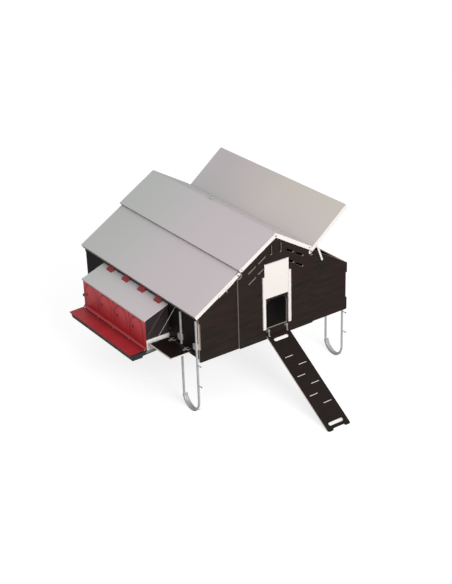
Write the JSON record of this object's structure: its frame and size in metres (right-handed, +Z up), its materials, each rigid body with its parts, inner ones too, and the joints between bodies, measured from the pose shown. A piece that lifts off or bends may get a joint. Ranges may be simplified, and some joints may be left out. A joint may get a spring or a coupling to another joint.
{
  "type": "mobile chicken coop",
  "caption": "Mobile gable-roofed chicken coop on tube legs with pop door, ramp, hinged roof panels and an outside nest box with egg trays.",
  "frame": {"origin": "centre of the footprint of the bounding box, on the ground", "axes": "+X across the gable to the right seen from the pop door, +Y from the pop door to the back, +Z up"},
  "size_m": [2.5665, 3.457, 1.9229],
  "materials": {
    "film_faced_ply": "dark phenolic film, satin",
    "timber": "planed",
    "roof_sheet": "light grey satin",
    "galvanised_steel": "galvanised",
    "plated_steel": "zinc plated",
    "white_sheet": "white satin",
    "grip_strip": "pale",
    "nest_sheet": "dark grey",
    "red_plastic": "moulded red",
    "grey_plastic": "moulded dark grey",
    "black_steel": "black",
    "nest_mat": "ribbed"
  },
  "bodies": {
    "coop_body": {"front_gable_centre": "film_faced_ply", "rear_gable_centre": "film_faced_ply", "front_gable_right": "film_faced_ply", "front_gable_left": "film_faced_ply", "rear_gable_right": "film_faced_ply", "rear_gable_left": "film_faced_ply", "left_wall": "film_faced_ply", "right_wall": "film_faced_ply", "floor_panel": "film_faced_ply", "floor_joists": "timber", "perch_rails": "timber", "roof_ridge": "roof_sheet", "ridge_screws": "plated_steel", "ridge_eye": "plated_steel", "roof_pivot_bolts": "plated_steel", "stay_hook_bolts": "plated_steel", "door_rail_left": "white_sheet", "door_rail_right": "white_sheet", "ramp_eyes": "plated_steel", "leg_clamps": "galvanised_steel", "clamp_bolts": "plated_steel", "nest_ends": "nest_sheet", "nest_skirts": "galvanised_steel", "nest_partitions": "nest_sheet", "nest_fronts": "red_plastic", "nest_mats": "nest_mat", "tray_rails": "plated_steel", "cover_pin": "plated_steel", "lid_rod": "black_steel", "nest_end_knob": "grey_plastic", "shelf_sill": "film_faced_ply", "shelf_hinge_pins": "plated_steel", "left_wall_screws": "plated_steel", "shelf_stay_cable": "plated_steel"},
    "roof_left": {"roof_panel_left": "roof_sheet"},
    "roof_right": {"roof_panel_right": "roof_sheet"},
    "stay_left": {"roof_stay_left": "plated_steel"},
    "stay_right": {"roof_stay_right": "plated_steel"},
    "door": {"pop_door": "white_sheet"},
    "ramp": {"ramp_board": "film_faced_ply", "ramp_cleats": "grip_strip", "ramp_hooks": "plated_steel"},
    "nest_lid_body": {"nest_lid": "roof_sheet", "lid_hinges": "red_plastic"},
    "egg_cover_body": {"egg_cover": "red_plastic"},
    "shelf": {"side_shelf": "film_faced_ply", "shelf_fittings": "plated_steel"},
    "latch": {"latch_knob": "grey_plastic"},
    "tray_1": {"egg_tray_1": "grey_plastic"},
    "tray_2": {"egg_tray_2": "grey_plastic"},
    "tray_3": {"egg_tray_3": "grey_plastic"},
    "tray_4": {"egg_tray_4": "grey_plastic"},
    "leg_front_left_body": {"leg_front_left": "galvanised_steel", "stop_bolts_front_left": "plated_steel"},
    "leg_front_right_body": {"leg_front_right": "galvanised_steel", "stop_bolts_front_right": "plated_steel"},
    "leg_rear_left_body": {"leg_rear_left": "galvanised_steel", "stop_bolts_rear_left": "plated_steel"},
    "leg_rear_right_body": {"leg_rear_right": "galvanised_steel", "stop_bolts_rear_right": "plated_steel"}
  },
  "joints": [
    {"name": "roof_left_hinge", "type": "hinge", "parent": "coop_body", "child": "roof_left", "pos_m": [-0.2515, -0.646, 1.5065], "axis": [0, 1, 0], "range_deg": [0, 69.4]},
    {"name": "roof_right_hinge", "type": "hinge", "parent": "coop_body", "child": "roof_right", "pos_m": [0.7165, -0.646, 1.5065], "axis": [0, 1, 0], "range_deg": [0, 69.4]},
    {"name": "stay_left_pivot", "type": "hinge", "parent": "roof_left", "child": "stay_left", "pos_m": [-0.32778, -0.653, 1.449], "axis": [0, 1, 0], "range_deg": [-108.33, 0]},
    {"name": "stay_right_pivot", "type": "hinge", "parent": "roof_right", "child": "stay_right", "pos_m": [0.79716, -0.653, 1.55767], "axis": [0, 1, 0], "range_deg": [-108.33, 0]},
    {"name": "door_slide", "type": "slide", "parent": "coop_body", "child": "door", "axis": [0, 0, -1], "range_m": [0, 0.358]},
    {"name": "ramp_hinge", "type": "hinge", "parent": "coop_body", "child": "ramp", "pos_m": [0.2325, -0.6765, 0.751], "axis": [-1, 0, 0], "range_deg": [0, 120]},
    {"name": "nest_lid_hinge", "type": "hinge", "parent": "coop_body", "child": "nest_lid_body", "pos_m": [-0.78, 0.5925, 1.132], "axis": [0, 1, 0], "range_deg": [0, 75]},
    {"name": "egg_cover_hinge", "type": "hinge", "parent": "coop_body", "child": "egg_cover_body", "pos_m": [-1.0895, 0.5925, 0.654], "axis": [0, 1, 0], "range_deg": [0, 85]},
    {"name": "shelf_hinge", "type": "hinge", "parent": "coop_body", "child": "shelf", "pos_m": [-0.8135, -0.3245, 0.752], "axis": [0, 1, 0], "range_deg": [0, 90], "deforming": ["shelf_stay_cable"]},
    {"name": "latch_pivot", "type": "hinge", "parent": "coop_body", "child": "latch", "pos_m": [-0.7775, -0.0915, 0.836], "axis": [1, 0, 0], "range_deg": [0, 90]},
    {"name": "tray_1_slide", "type": "slide", "parent": "coop_body", "child": "tray_1", "axis": [-1, 0, 0], "range_m": [0, 0.3]},
    {"name": "tray_2_slide", "type": "slide", "parent": "coop_body", "child": "tray_2", "axis": [-1, 0, 0], "range_m": [0, 0.3]},
    {"name": "tray_3_slide", "type": "slide", "parent": "coop_body", "child": "tray_3", "axis": [-1, 0, 0], "range_m": [0, 0.3]},
    {"name": "tray_4_slide", "type": "slide", "parent": "coop_body", "child": "tray_4", "axis": [-1, 0, 0], "range_m": [0, 0.3]},
    {"name": "leg_front_left_slide", "type": "slide", "parent": "coop_body", "child": "leg_front_left_body", "axis": [0, 0, 1], "range_m": [-0.25, 0]},
    {"name": "leg_front_right_slide", "type": "slide", "parent": "coop_body", "child": "leg_front_right_body", "axis": [0, 0, 1], "range_m": [-0.25, 0]},
    {"name": "leg_rear_left_slide", "type": "slide", "parent": "coop_body", "child": "leg_rear_left_body", "axis": [0, 0, 1], "range_m": [-0.25, 0]},
    {"name": "leg_rear_right_slide", "type": "slide", "parent": "coop_body", "child": "leg_rear_right_body", "axis": [0, 0, 1], "range_m": [-0.25, 0]}
  ],
  "couplings": [
    {"joint": "stay_left_pivot", "follows": "roof_left_hinge", "ratio": -1.5608},
    {"joint": "stay_right_pivot", "follows": "roof_right_hinge", "ratio": -1.5608}
  ]
}
